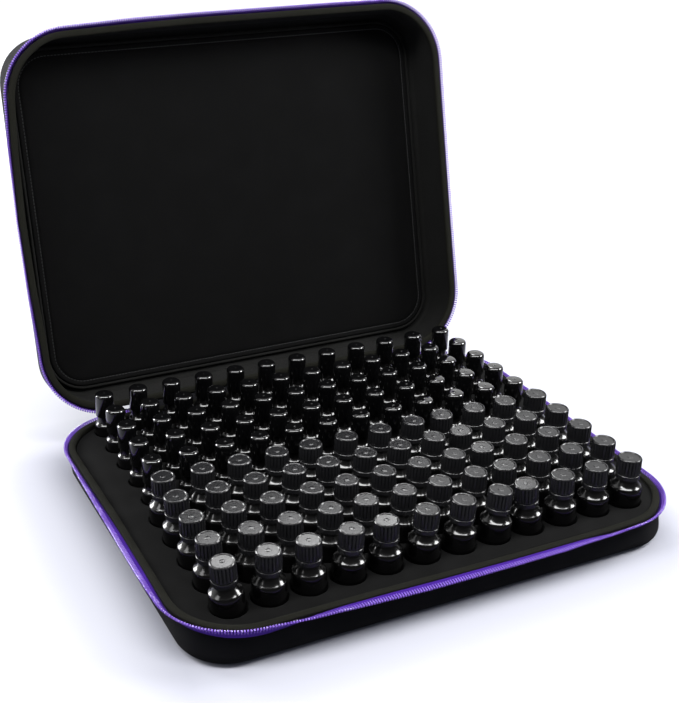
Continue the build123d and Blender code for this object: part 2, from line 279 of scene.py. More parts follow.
def loft(name, outlines, arc_steps, side_cuts=0, closed=False, ends=True):
    """Bridges rounded rectangles, given as (width, depth, corner radius, height), into one skin."""
    piece = primitive(name, bpy.ops.mesh.primitive_plane_add, size=1)
    edit(piece)
    bpy.ops.mesh.delete(type="VERT")
    for outline in outlines:
        add_outline(*outline, arc_steps, side_cuts)
    per_level = len(bmesh.from_edit_mesh(piece.data).verts) // len(outlines)
    last = len(outlines) - 1

    def levels(edge):
        return {v.index // per_level for v in edge.verts}

    for low in range(last + 1 if closed else last):
        high = low + 1 if low < last else 0
        pick("EDGE", lambda edge: levels(edge) in ({low}, {high}))
        bpy.ops.mesh.bridge_edge_loops()
    if ends and not closed:
        for level in (0, last):
            pick("EDGE", lambda edge: levels(edge) == {level})
            bpy.ops.mesh.edge_face_add()
    leave_edit(outwards=True)
    return piece, per_level


def cloth_map(piece):
    layers = piece.data.uv_layers
    return layers[0] if layers else layers.new(name="cloth")


def map_along_rim(piece, per_level, across):
    """A cloth map in metres: along the rim, and across it by each level's own distance. A floor
    is mapped straight down."""
    mesh = piece.data
    cloth = cloth_map(piece)
    along = [rim_along(v.co) for v in mesh.vertices]
    for face in mesh.polygons:
        flat = len(face.vertices) > 4
        most = max(along[v] for v in face.vertices)
        for corner, v in zip(face.loop_indices, face.vertices):
            u = along[v] + (rim_length if most - along[v] > rim_length / 2 else 0)
            cloth.data[corner].uv = mesh.vertices[v].co.xy if flat else (u, across[v // per_level])


def map_flat(piece, width=1.0, depth=1.0):
    """A cloth map in metres, straight down onto the piece."""
    cloth = cloth_map(piece)
    for loop in piece.data.loops:
        co = piece.data.vertices[loop.vertex_index].co
        cloth.data[loop.index].uv = (co.x * width, co.y * depth)


def distances(outlines):
    """How far each level lies from the first, measured over the surface."""
    steps = [((a[0] - b[0]) ** 2 / 4 + (a[3] - b[3]) ** 2) ** 0.5 for a, b in zip(outlines, outlines[1:])]
    return [sum(steps[:count]) for count in range(len(outlines))]


def rim_piece(half, name, outlines, closed=False):
    """A form all round the rim of one half, mapped as cloth and moved by that half's give."""
    piece, per_level = loft(half + name, outlines, arc_steps=14, side_cuts=20, closed=closed)
    map_along_rim(piece, per_level, distances(outlines))
    let_give(piece, half)
    return piece, per_level


# %% [markdown]
# Finishes come next, because every piece needs one. A finish is a small recipe of nodes. Effects that
# several finishes share, such as a weave or fine dust, are built once as a group and used again with
# other numbers.

# %% Wiring nodes
class Recipe:
    """A tree of shader nodes, filled one ingredient at a time. An underscore in the name of an input
    stands for a space."""

    def __init__(self, tree):
        self.tree = tree

    def plug(self, socket, value):
        if isinstance(value, bpy.types.NodeSocket):
            self.tree.links.new(value, socket)
        else:
            socket.default_value = value

    def feed(self, node, **inputs):
        for name, value in inputs.items():
            self.plug(node.inputs[name.replace("_", " ")], value)

    def add(self, kind, **inputs):
        node = self.tree.nodes.new("ShaderNode" + kind)
        self.feed(node, **inputs)
        return node

    def use(self, group, **inputs):
        """Adds a shared effect, and returns what it gives."""
        node = self.add("Group")
        node.node_tree = group
        self.feed(node, **inputs)
        return node.outputs

    def maths(self, operation, *values, kind="Math", gives=0, **inputs):
        node = self.add(kind)
        node.operation = operation
        for socket, value in zip(node.inputs, values):
            self.plug(socket, value)
        self.feed(node, **inputs)
        return node.outputs[gives]

    def mix(self, share, first, second):
        """A colour between two. The sockets go by number, since each data type has its own set."""
        node = self.add("Mix")
        node.data_type = "RGBA"
        for number, value in ((0, share), (6, first), (7, second)):
            self.plug(node.inputs[number], value)
        return node.outputs[2]

    def noise(self, place, **inputs):
        return self.add("TexNoise", Vector=place, **inputs).outputs["Fac"]

    def ramp(self, value, low, high, start=0.0, end=1.0):
        """Stretches a value from one range to another."""
        node = self.add("MapRange", Value=value, From_Min=low, From_Max=high, To_Min=start, To_Max=end)
        return node.outputs["Result"]

    def bump(self, shader, height, strength, distance):
        relief = self.add("Bump", Height=height, Strength=strength, Distance=distance)
        self.feed(shader, Normal=relief.outputs["Normal"])


def effect(name, takes, gives):
    """An empty node group with named sockets, and the recipe to fill it."""
    group = bpy.data.node_groups.new(name, "ShaderNodeTree")
    for way, sockets in (("INPUT", takes), ("OUTPUT", gives)):
        for label, kind in sockets.items():
            group.interface.new_socket(name=label, in_out=way, socket_type="NodeSocket" + kind)
    return (group, Recipe(group), group.nodes.new("NodeGroupInput").outputs,
            group.nodes.new("NodeGroupOutput"))


# %% [markdown]
# Plain weave is two sets of threads that take turns on top. Two sine waves give both: where their
# product is positive the warp lies on top, and elsewhere the weft. The group puts out a height for the
# bump and a tone, because threads differ a little in how dark they are.

# %% Plain weave
weave, recipe, given, result = effect("Plain weave", {"Cloth": "Vector", "Threads": "Float"},
                                      {"Height": "Float", "Tone": "Float"})
scaled = recipe.maths("SCALE", given["Cloth"], kind="VectorMath", Scale=given["Threads"])
crossing = recipe.add("SeparateXYZ", Vector=scaled).outputs
warp, weft = (recipe.maths("SINE", recipe.maths("MULTIPLY", crossing[axis], pi)) for axis in "XY")
on_top = recipe.maths("GREATER_THAN", recipe.maths("MULTIPLY", warp, weft), 0.0)
warp_size, weft_size = (recipe.maths("ABSOLUTE", wave) for wave in (warp, weft))


def thread(profile, lift):
    return recipe.maths("MULTIPLY", recipe.maths("POWER", profile, 0.6),
                        recipe.maths("MULTIPLY_ADD", lift, 0.45, 0.55))


over = recipe.maths("MULTIPLY", on_top, thread(warp_size, weft_size))
under = recipe.maths("MULTIPLY", recipe.maths("SUBTRACT", 1.0, on_top), thread(weft_size, warp_size))
recipe.feed(result, Height=recipe.maths("ADD", over, under),
            Tone=recipe.noise(scaled, Scale=0.35, Detail=3.0))

# %% [markdown]
# Nothing real is evenly clean. The dust group lays pale specks and a faint bloom over a colour, and
# the smudge group makes a polished surface a little duller in patches, as fingers leave it. The grain
# group gives fine pits, for foam and for cast metal.

# %% Dust, smudges and grain
dust, recipe, given, result = effect(
    "Dust", {"Place": "Vector", "Colour": "Color", "Dust colour": "Color", "Amount": "Float"},
    {"Colour": "Color"})
specks = recipe.ramp(recipe.noise(given["Place"], Scale=2600.0, Detail=2.0), 0.60, 0.74)
bloom = recipe.ramp(recipe.noise(given["Place"], Scale=38.0, Detail=4.0), 0.42, 0.72)
share = recipe.maths("MULTIPLY", recipe.maths("MULTIPLY_ADD", specks, 0.6, bloom), given["Amount"])
recipe.feed(result, Colour=recipe.mix(share, given["Colour"], given["Dust colour"]))

smudge, recipe, given, result = effect(
    "Smudges", {"Place": "Vector", "Clean": "Float", "Dull": "Float"}, {"Roughness": "Float"})
patches = recipe.noise(given["Place"], Scale=90.0, Detail=5.0, Roughness=0.6)
recipe.feed(result, Roughness=recipe.ramp(patches, 0.4, 0.75, given["Clean"], given["Dull"]))

grain, recipe, given, result = effect(
    "Grain", {"Place": "Vector", "Size": "Float"}, {"Height": "Float", "Tone": "Float"})
cells = recipe.add("TexVoronoi", Vector=given["Place"], Scale=recipe.maths("DIVIDE", 1.0, given["Size"]))
fine = recipe.noise(given["Place"], Detail=3.0, Scale=recipe.maths("DIVIDE", 0.5, given["Size"]))
recipe.feed(result, Height=recipe.maths("MULTIPLY_ADD", cells.outputs["Distance"], 0.6, fine), Tone=fine)
print("effects:", ", ".join(sorted(group.name for group in bpy.data.node_groups)))


# %% [markdown]
# Cloth is the main finish here. One function mixes every cloth: the weave gives the bump, and its height
# also moves the colour between two near tones, which paints shade into the low parts of the weave; the
# threads also differ a little at random, and dust lies on top. The shell's cover, the olive binding, the
# purple tape and the panel's cover are all this recipe with other colours and thread counts.

# %% Cloth finishes
def new_finish(name):
    material = bpy.data.materials.new(name)
    material.use_nodes = True
    recipe = Recipe(material.node_tree)
    return material, recipe, material.node_tree.nodes["Principled BSDF"], recipe.add("TexCoord").outputs


def cloth(name, dark, light, threads, sheen, gloss=0.1, dusty=0.01):
    """A woven cloth with so many threads to the metre."""
    material, recipe, shader, place = new_finish(name)
    woven = recipe.use(weave, Cloth=place["UV"], Threads=threads)
    # Painted shade: the weave's height darkens its low parts and lightens the raised threads; the random part
    # is the threads' own.
    weave_shade_and_tone = recipe.maths("MULTIPLY_ADD", woven["Height"], 0.5, recipe.maths("MULTIPLY", woven["Tone"], 0.6))
    lint = recipe.use(dust, Place=place["Object"], Colour=recipe.mix(weave_shade_and_tone, (*dark, 1), (*light, 1)),
                      Dust_colour=(0.16, 0.16, 0.17, 1), Amount=dusty)
    recipe.feed(shader, Base_Color=lint["Colour"], Roughness=0.8, Sheen_Weight=sheen,
                Sheen_Roughness=0.4, Specular_IOR_Level=gloss)
    recipe.bump(shader, woven["Height"], 0.5, 0.5 / threads)
    return material


shell_cloth = cloth("shell cloth", (0.0022, 0.0022, 0.0030), (0.0042, 0.0042, 0.0056), 1500, 0.02)
# The lining: its own cloth, painted lighter than the shell's cover for the light on the inner walls.
painted_lighter_lining_cloth = cloth("lining cloth", (0.0036, 0.0036, 0.0034), (0.0070, 0.0070, 0.0064), 1500, 0.03)
binding_cloth = cloth("binding cloth", (0.0050, 0.0050, 0.0038), (0.0110, 0.0110, 0.0082), 1100, 0.02,
                      gloss=0.05, dusty=0.005)
tape_cloth = cloth("zip tape cloth", (0.023, 0.004, 0.135), (0.048, 0.010, 0.225), 1300, 0.03, dusty=0.0)
hinge_cloth = cloth("hinge cloth", (0.003, 0.003, 0.004), (0.006, 0.006, 0.0075), 900, 0.03)
panel_cloth = cloth("panel cloth", (0.0016, 0.0016, 0.0016), (0.0034, 0.0034, 0.0034), 1200, 0.012,
                    gloss=0.05, dusty=0.004)
thread_cloth = cloth("sewing thread", (0.014, 0.014, 0.014), (0.035, 0.035, 0.035), 4000, 0.1, dusty=0.0)


# %% [markdown]
# Foam is all tiny cells, so its finish is grain without a direction. Glass and caps are near black.
# What shows of them is what they mirror, so their recipe is mostly about gloss: a low roughness that
# the smudge group breaks up.

# %% Foam, glass, caps and metal
def foam_finish(name, dark, light):
    material, recipe, shader, place = new_finish(name)
    cells = recipe.use(grain, Place=place["Object"], Size=0.0009)
    lint = recipe.use(dust, Place=place["Object"], Amount=0.010, Dust_colour=(0.12, 0.12, 0.12, 1),
                      Colour=recipe.mix(cells["Tone"], (*dark, 1), (*light, 1)))
    recipe.feed(shader, Base_Color=lint["Colour"], Roughness=0.8, Specular_IOR_Level=0.05,
                Sheen_Weight=0.03)
    recipe.bump(shader, cells["Height"], 0.2, 0.0003)
    return material


def polished(name, colour, clean, dull, dusty=0.004, coat=0.0, metal=0.0, relief=0.0):
    """A hard finish, with its roughness where it is clean and where fingers have dulled it."""
    material, recipe, shader, place = new_finish(name)
    marks = recipe.use(smudge, Place=place["Object"], Clean=clean, Dull=dull)
    specks = recipe.use(dust, Place=place["Object"], Colour=(*colour, 1),
                        Dust_colour=(0.3, 0.3, 0.32, 1), Amount=dusty)
    recipe.feed(shader, Base_Color=specks["Colour"], Roughness=marks["Roughness"], Coat_Weight=coat,
                Metallic=metal)
    if relief:
        pits = recipe.use(grain, Place=place["Object"], Size=0.0006)
        recipe.bump(shader, pits["Height"], relief, 0.0001)
    return material


foam_black = foam_finish("foam", (0.0020, 0.0020, 0.0020), (0.0036, 0.0036, 0.0035))
stiff_board = foam_finish("stiffener board", (0.010, 0.010, 0.010), (0.016, 0.016, 0.016))
bottle_glass = polished("bottle glass", (0.0015, 0.0014, 0.0014), 0.15, 0.22, coat=0.3)
dropper_plastic = polished("ribbed cap plastic", (0.010, 0.010, 0.0108), 0.23, 0.28, dusty=0.003)
roller_plastic = polished("smooth cap plastic", (0.0015, 0.0015, 0.0017), 0.06, 0.11, coat=0.8)
reducer_plastic = polished("reducer plastic", (0.62, 0.62, 0.60), 0.25, 0.4)
housing_plastic = polished("ball housing plastic", (0.50, 0.50, 0.49), 0.25, 0.4)
ball_steel = polished("ball steel", (0.75, 0.75, 0.76), 0.05, 0.12, metal=1.0)
zip_metal = polished("zip metal", (0.08, 0.08, 0.09), 0.22, 0.38, metal=1.0, relief=0.1)
tooth_nylon = polished("zip tooth nylon", (0.17, 0.085, 0.46), 0.20, 0.30, dusty=0.0, coat=0.8)
print("finishes:", len(bpy.data.materials))


# %% [markdown]
# A finished piece has its place, a finish, a body to ride on and often a plain
# solid that it stands for. One call gives it all of them.

# %% Handing a piece over
def settle(piece, finish, body, slot, *stands_for, place=None, angle=None):
    """Hands a piece over. With a place it is set down there, with an angle it is shaded smooth."""
    if place is not None:
        put(piece, place)
    if angle is not None:
        smooth(piece, angle)
    piece.data.materials.clear()
    for one in finish if isinstance(finish, list) else [finish]:
        piece.data.materials.append(one)
    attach(piece, body)
    if stands_for:
        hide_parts(*stands_for)
    print(piece.name, len(piece.data.polygons), "faces on", body)


# %% [markdown]
# The shells are pressed from foam board between two cloths. Going from the middle of the inside floor,
# up the inner wall, over the cut edge and down the outside, one skin makes the whole shell, with a
# large round where wall meets floor. The inside faces get the lining, whose colour is partly its own
# and partly painted lighter, for the light that falls on the inner walls.

# %% Base and lid shells
inner_radius = 0.010
corner_tightening = 0.015
floor_dish = 0.0003
wall_levels = (0.006, 0.013, 0.020)
round_steps = 6


def wall_and_floor(height, radius, offset, dish, fall=1.0):
    """The outlines down one wall and round onto the floor, from just under the rim. The corners grow
    tighter on the way down. The inside starts a little lower than the outside, and each floor is
    dished a little, because a bridge between two rings of one height can come out twisted."""
    low = height - radius
    middle = offset - fall * drafted(low + radius * sin(wall_draft)) - radius * cos(wall_draft)
    levels = [(offset - fall * drafted(depth), depth) for depth in (0.002 - offset / 8, *wall_levels)]
    for step in range(round_steps + 1):
        turn = wall_draft + (pi / 2 - wall_draft) * step / round_steps
        levels.append((middle + radius * cos(turn), low + radius * sin(turn)))
    levels.append((middle - 0.008, height + dish))
    return [rim_outline(out, depth, corner_tightening * min(depth / height, 1)) for out, depth in levels]


for half, edge_radius, fall in (("base", 0.0125, 1.8), ("lid", 0.014, 1.0)):
    height = height_of[half]
    inside = wall_and_floor(height - wall, inner_radius, -wall, floor_dish)
    outside = wall_and_floor(height, edge_radius, 0, -floor_dish, fall)
    shell, per_level = rim_piece(half, "_shell_cloth", inside[::-1] + outside)
    settle(shell, [shell_cloth, painted_lighter_lining_cloth], half, "shell_fabric", half + "_shell",
           place=place_of[half], angle=35)
    for face in shell.data.polygons:
        face.material_index = int(max(face.vertices) // per_level < len(inside))

# %% [markdown]
# A strip of olive cloth is folded over the cut edge of each shell and sewn down. It is a soft roll:
# flat on the two sides and round on top.

# %% Rolled bindings
binding_depth = 0.0044
band_middle = -wall / 2
band_half = wall / 2 + 0.001
roll_top = 0.0004
roll_round = 0.0013
roll_steps = 8


def roll(turn):
    """One level of the roll's round top, from the outer side over to the inner side."""
    across = band_middle + (band_half + 0.0002) * cos(turn)
    return rim_outline(across, roll_top + roll_round * (1 - sin(turn)))


binding_outlines = [
    rim_outline(band_middle + band_half - drafted(binding_depth), binding_depth),
    *(roll(pi * step / roll_steps) for step in range(roll_steps + 1)),
    rim_outline(band_middle - band_half - drafted(binding_depth), binding_depth - 0.0003),
]
for half in ("base", "lid"):
    binding, _ = rim_piece(half, "_rolled_binding", binding_outlines, closed=True)
    settle(binding, binding_cloth, half, "binding_cloth", half + "_binding",
           place=place_of[half], angle=50)

# %% [markdown]
# The zip tape is sewn under the binding and stands off the wall by itself. On this case it doesn't
# stand evenly: along the left side it lies nearly flat, at the front left corner it stands up, and on
# the right half of the front it flops over. So its lean is a list of angles along the rim, and each
# strip of tape bends smoothly from its seam to that lean.

# %% How far the tape leans
tape_width = 0.0064
tape_thickness = 0.0006
tape_held = 0.8
tooth_length = 0.0038
foot_lean = radians(24)
seam_offset = 0.0006
highest_foot = 0.0042
below_parting = 0.0013
bend_share = 0.45
bend_steps = 24
leans = {
    "base": ((0.15, 30), (0.23, 34), (0.271, 38), (0.296, 44), (0.321, 53), (0.346, 60), (0.371, 68),
             (0.396, 76), (0.42, 84), (0.47, 84), (0.50, 66), (0.54, 40), (0.575, 22), (0.605, 24),
             (0.62, 40), (0.643, 66), (0.67, 84), (0.70, 94), (0.74, 102), (0.80, 96), (0.87, 92),
             (0.90, 76), (0.925, 58), (0.95, 42), (1.03, 36), (1.20, 34), (1.38, 32)),
    "lid": ((0.15, 30), (0.45, 31), (0.58, 28), (0.66, 40), (0.90, 40), (1.0, 30), (1.20, 26),
            (1.40, 30)),
}
half_opening = {"base": 0.1406, "lid": 0.183}


def strip_point(half, along, distance):
    """Offset from the rim, height and lean of the strip, at a distance from its seam."""
    lean = radians(float(np.interp(along, *zip(*leans[half]))))
    reach = tape_width + tooth_length / 2
    at_foot = min(foot_lean, lean)
    offsets, heights = [0.0], [0.0]
    for step in range(bend_steps):
        part = min(1.0, (step + 0.5) / bend_steps / bend_share)
        angle = at_foot + (lean - at_foot) * part * part * (3 - 2 * part)
        offsets.append(offsets[-1] + sin(angle) * reach / bend_steps)
        heights.append(heights[-1] + cos(angle) * reach / bend_steps)
    foot = -max(highest_foot, below_parting + max(heights))
    where = [reach * step / bend_steps for step in range(bend_steps + 1)]
    offset = seam_offset - drafted(-foot) + float(np.interp(distance, where, offsets))
    return offset, foot + float(np.interp(distance, where, heights)), lean


print("tape and teeth reach", round(1000 * (tape_width + tooth_length), 1), "mm from the seam")

# %% The tapes
tape_levels = 8
level_width = [tape_width * level / (tape_levels - 1) for level in range(tape_levels)]


def at_back(face):
    return face.calc_center_median().y > rim_depth / 2 - 0.01


for half, opening in half_opening.items():
    # Drawn straight first, with any heights that differ, since each point is moved afterwards.
    outlines = [rim_outline(0, 0.01 - 0.001 * level) for level in range(tape_levels)]
    tape, per_level = loft(half + "_purple_tape", outlines, arc_steps=22, side_cuts=42, ends=False)
    map_along_rim(tape, per_level, level_width)
    for v in tape.data.vertices:
        along = rim_along(v.co)
        point, outward = rim_point(along)
        offset, height, _ = strip_point(half, along, level_width[v.index // per_level])
        v.co = point + outward * offset + height * up + give_at(half, along, tape_held)
    edit(tape)
    for side in (-1, 1):
        pick("FACE", at_back)
        bpy.ops.mesh.bisect(plane_co=(side * opening, 0, 0), plane_no=(1, 0, 0))
    pick("FACE", lambda face: at_back(face) and abs(face.calc_center_median().x) < opening)
    bpy.ops.mesh.delete(type="FACE")
    leave_edit()
    finish_with(tape, "SOLIDIFY", thickness=tape_thickness, offset=0.0)
    face_outwards(tape)
    settle(tape, tape_cloth, half, "zip_cloth", half + "_zip_tape", place=place_of[half], angle=40)

# %% [markdown]
# A tooth of a nylon zip is one bend of a stiff filament: a short bar across the tape's edge with a
# thicker head. It repeats over five hundred times on each half, so it is one small modelled block with
# its head swelled and its edges bevelled, and no more faces than that needs.

# %% One tooth
tooth_pitch = 0.0023
tooth_width = 0.0011
tooth_height = 0.0017
head_length = tooth_width * 0.3
stop_room = 0.0027


def long_upper_or_lower(edge):
    one, two = (v.co for v in edge.verts)
    return abs((one - two).normalized().y) > 0.9 and one.z * two.z > 0


tooth = primitive("zip_tooth", bpy.ops.mesh.primitive_cube_add, size=1)
edit(tooth)
stretch((tooth_width, tooth_length, tooth_height))
pick("FACE", lambda face: face.normal.y > 0.9)
stretch((1.35, 1, 1.1), (0, tooth_length / 2, 0))
bpy.ops.mesh.inset(thickness=head_length)
bpy.ops.transform.translate(value=(0, head_length, 0))
pick("EDGE", long_upper_or_lower)
bpy.ops.mesh.bevel(offset=tooth_width * 0.28, segments=1)
leave_edit()
print("a tooth has", len(tooth.data.polygons), "faces")


# %% The rows of teeth
def gather(name, prototype, places):
    """Copies of one modelled form, each with its own mesh, joined into one piece."""
    bpy.ops.object.select_all(action="DESELECT")
    copies = [bpy.data.objects.new("copy", prototype.data.copy()) for _ in places]
    for copy, place in zip(copies, places):
        bpy.context.scene.collection.objects.link(copy)
        copy.data.transform(place)
        copy.select_set(True)
    copies[0].name = name
    bpy.context.view_layer.objects.active = copies[0]
    bpy.ops.object.join()
    return copies[0]


def tooth_places(half, opening):
    start, end = opening + tooth_pitch, rim_length - opening - tooth_pitch
    count = int((end - start) / tooth_pitch)
    places = []
    for number in range(count + 1):
        along = start + (end - start) * number / count
        point, outward = rim_point(along)
        offset, height, lean = strip_point(half, along, tape_width)
        rising = outward * sin(lean) + cos(lean) * up
        across = outward.cross(up)
        middle = point + outward * offset + height * up + rising * tooth_length * 0.2
        middle += give_at(half, along, tape_held)
        turn = Matrix((across, rising, across.cross(rising))).transposed().to_4x4()
        places.append(place_of[half] @ Matrix.Translation(middle) @ turn)
    return places


for half, room in (("base", stop_room), ("lid", 0)):
    teeth = gather(half + "_zip_teeth", tooth, tooth_places(half, half_opening[half] + room))
    face_outwards(teeth)
    settle(teeth, tooth_nylon, half, "zip_coil", half + "_zip_coil", angle=45)
bpy.data.objects.remove(tooth)

# %% [markdown]
# The back of the case has no zip. A strip of strong cloth joins the halves there, and it has to bend
# when the lid swings. It is drawn as one curved sheet from wall to wall over the hinge line, from the
# seam on the base to the seam on the lid.

# %% Cloth hinge
seam_depth = 0.008
cloth_run, cloth_thickness = 0.019, 0.0009
hinge_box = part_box("hinge_panel_base")
hinge_length = hinge_box[1].x - hinge_box[0].x
base_seam = Vector((0, rim_depth / 2 + seam_offset - drafted(seam_depth), base_height - seam_depth))
lid_seam = lid_swing @ Vector((0, base_seam.y, seam_depth))
bow = Vector((0, 0.0004, 0.0006))


def hinge_curve(share):
    """A quadratic curve from seam to seam, drawn towards a point that bows it over the hinge line."""
    middle = 2 * (hinge_line + bow) - (base_seam + lid_seam) / 2
    return (1 - share) ** 2 * base_seam + 2 * share * (1 - share) * middle + share**2 * lid_seam


hinge_sheet = primitive("hinge_cloth_strip", bpy.ops.mesh.primitive_grid_add, x_subdivisions=70,
                        y_subdivisions=14, size=1)
map_flat(hinge_sheet, hinge_length, cloth_run)
for v in hinge_sheet.data.vertices:
    v.co = hinge_curve(v.co.y + 0.5) + Vector((v.co.x * hinge_length, 0, 0))
finish_with(hinge_sheet, "SOLIDIFY", thickness=cloth_thickness, offset=0.0)
face_outwards(hinge_sheet)
smooth(hinge_sheet, 50)
hinge_sheet.data.materials.clear()
hinge_sheet.data.materials.append(hinge_cloth)
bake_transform(hinge_sheet)
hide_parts("hinge_panel_base", "hinge_panel_lid")

# %% [markdown]
# A hundred and twenty bottles would be a lot to place by hand, and their places are already in the
# frame. Each row's glass and cap are solids of revolution, so the middle of the glass and the middle
# of the cap both lie on the bottle's axis. That gives each bottle's foot and lean.

# %% Where the bottles stand
cell_pitch = 0.034
columns, rows, roller_rows = 12, 10, 5


def clusters(node):
    """The distinct points of a node, sorted into the columns of the tray."""
    points = np.unique(np.round([v.co for v in frame["nodes"][node].data.vertices], 6), axis=0)
    column = np.round(points[:, 0] / cell_pitch + (columns - 1) / 2).astype(int)
    return {int(k): points[column == k] for k in np.unique(column)}


def turned_to(way):
    """The turn from straight up to another direction."""
    return up.rotation_difference(way).to_matrix().to_4x4()


def bottle_places(glass_node, cap_node):
    places = []
    caps = clusters(cap_node)
    for column, glass in clusters(glass_node).items():
        foot, head = Vector(glass.mean(0)), Vector(caps[column].mean(0))
        axis = (head - foot).normalized()
        lowest = min(float((Vector(p) - foot).dot(axis)) for p in glass)
        places.append(Matrix.Translation(foot + lowest * axis) @ turned_to(axis))
    return places


def kind_in(row):
    return "roller" if row < roller_rows else "dropper"


print("row 10 leans:", [round(degrees(place.to_euler().y), 1)
                        for place in bottle_places("dropper_glass_row_10", "dropper_caps_row_10")])

# %% [markdown]
# The foam insert is one thick sheet with 120 round holes. The block is lofted like the shell, and the
# holes are cut by a boolean with 120 turned plugs. Each plug flares at the top, and that leaves the
# soft, slightly rolled lip that a die leaves in foam.

# %% Turned forms
def stepped(radius, height, *steps):
    """Part of a profile: steps from one (radius, height), in tenths of a millimetre."""
    return [(radius + 1e-4 * out, height + 1e-4 * rise) for out, rise in steps]


def turn_up(name, profile, sides, capped=True):
    """Draws a turned form from a circle, extruding and scaling ring by ring: (radius, height)."""
    radius, height = profile[0]
    piece = primitive(name, bpy.ops.mesh.primitive_circle_add, vertices=sides, radius=radius)
    edit(piece)
    bpy.ops.transform.translate(value=(0, 0, height))
    if capped:
        bpy.ops.mesh.edge_face_add()
        pick("EDGE", lambda edge: True)
    for wider, higher in profile[1:]:
        bpy.ops.mesh.extrude_edges_move(TRANSFORM_OT_translate={"value": (0, 0, higher - height)})
        stretch((wider / radius, wider / radius, 1), (0, 0, higher))
        radius, height = wider, higher
    if capped:
        bpy.ops.mesh.edge_face_add()
    leave_edit(outwards=True)
    return piece


# %% Foam
foam_gap = wall + 0.002
foam_top, foam_low = 0.004, base_height - 0.008
hole_radius = {"roller": 0.0109, "dropper": 0.0154}
lip = 0.0009


def foam_block(name, near, far, soft_edge):
    """A sheet of foam between two depths below the rim, with a soft upper edge."""
    outlines = [rim_outline(-foam_gap - drafted(far), far)]
    for turn in (0, pi / 6, pi / 3, pi / 2):
        outlines.append(rim_outline(-foam_gap - drafted(near) - soft_edge * (1 - cos(turn)),
                                    near + soft_edge * (1 - sin(turn))))
    piece, _ = loft(name, outlines, arc_steps=12)
    put(piece, place_of["base"])
    return piece


def socket_plug(radius):
    """A plug with a flare at the height of the foam's top."""
    top = base_height - foam_top
    profile = [(radius, top - foam_low - 0.002), (radius, top - lip),
               (radius + 0.3 * lip, top - 0.35 * lip), (radius + lip, top), (radius + lip, top + 0.002)]
    return turn_up("socket_plug", profile, 32)


def tray_places(row):
    glass_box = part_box(f"{kind_in(row)}_glass_row_{row + 1}")
    middle = (glass_box[0].y + glass_box[1].y) / 2
    return [Matrix.Translation(((k - (columns - 1) / 2) * cell_pitch, middle, 0)) for k in range(columns)]


insert = foam_block("foam_insert_sheet", foam_top, foam_low, 0.0012)
for kind, radius in hole_radius.items():
    plug = socket_plug(radius)
    places = [place for row in range(rows) if kind_in(row) == kind for place in tray_places(row)]
    plugs = gather("socket_plugs", plug, places)
    finish_with(insert, "BOOLEAN", operation="DIFFERENCE", object=plugs, solver="EXACT")
    bpy.data.objects.remove(plugs)
    bpy.data.objects.remove(plug)
settle(insert, foam_black, "base", "foam", "foam_insert", angle=20)

floor_sheet = foam_block("foam_floor_sheet", foam_low, base_height - wall, 0.0004)
settle(floor_sheet, foam_black, "base", "foam", "foam_floor", angle=35)


# %% [markdown]
# A dropper bottle is a stout cylinder whose shoulder slopes up to the neck. Its cap is ribbed for grip
# and sits on a thin tamper ring. The ribs come from a circle with four points to a rib: one of them is
# drawn in along the ribbed band, and that leaves broad ridges with a groove between each two.

# %% Dropper glass
def rounding(start, end, steps, bulge=1.0):
    """Points on a quarter ellipse from one (radius, height) to another."""
    (r0, z0), (r1, z1) = start, end
    turns = [pi / 2 * (step / steps) for step in range(steps + 1)]
    return [(r1 + (r0 - r1) * cos(a), z0 + (z1 - z0) * sin(a) ** bulge) for a in turns]


dropper_radius, dropper_neck = 0.0142, 0.0086
dropper_body, dropper_shoulder, dropper_lip, dropper_height = 0.037, 0.0485, 0.064, 0.068
dropper_side = [
    *stepped(dropper_radius, 0, (-16, 0), (-5, 5), (0, 16)),
    *rounding((dropper_radius, dropper_body), (0.0126, 0.0415), 5, 1.2),
    *stepped(0, 0, (108, 438), (93, 457), (88, 466)), (dropper_neck, dropper_shoulder)]
row_dropper = turn_up("row_dropper", dropper_side + [(dropper_neck, dropper_shoulder + 0.001)], 36)
smooth(row_dropper, 40)

# %% Ribbed cap
cap_radius, cap_top_radius = 0.0106, 0.0099
rib_count, rib_depth = 22, 0.0009
band_low, band_high = 0.0537, 0.0668
ribbed_profile = [
    *stepped(cap_radius, band_low, (-4, -2), (-1, 0), (0, 8)),
    (cap_radius * 0.985, band_high - 0.0005), (cap_radius * 0.975, band_high),
    *stepped(cap_top_radius, dropper_height, (0, -5), (-5, -1), (-11, 0), (-14, -2), (-18, -7)),
    *stepped(0, dropper_height, (24, -7), (20, -3.5), (8, -2))]
ring_foot = [(dropper_neck + 0.0003, dropper_shoulder),
             *stepped(cap_radius, dropper_shoulder, (-2, 0), (0, 4))]


def ribbed_cap(name, profile):
    """Turns up a cap and draws in one of every four points of its ribbed band."""
    def in_valley(v):
        number = round(atan2(v.co.y, v.co.x) / (2 * pi / (4 * rib_count))) % 4
        return number == 0 and band_low + 0.0004 < v.co.z < band_high - 0.0002

    piece = turn_up(name, profile, 4 * rib_count)
    edit(piece)
    pick("VERT", in_valley)
    share = 1 - rib_depth / cap_radius
    stretch((share, share, 1))
    leave_edit()
    return piece


row_cap = ribbed_cap("row_cap", ring_foot + stepped(
    cap_radius, band_low, (0, -14), (-3, -11), (-7, -10), (-7, -3)) + ribbed_profile)
smooth(row_cap, 26)
print("a dropper is", len(row_dropper.data.polygons) + len(row_cap.data.polygons), "faces")

# %% [markdown]
# A roller bottle is slimmer, with a sloping shoulder too. A tall smooth cap with a softly rounded top
# hides the steel ball. A small nub in its middle is what the mould's gate has left.

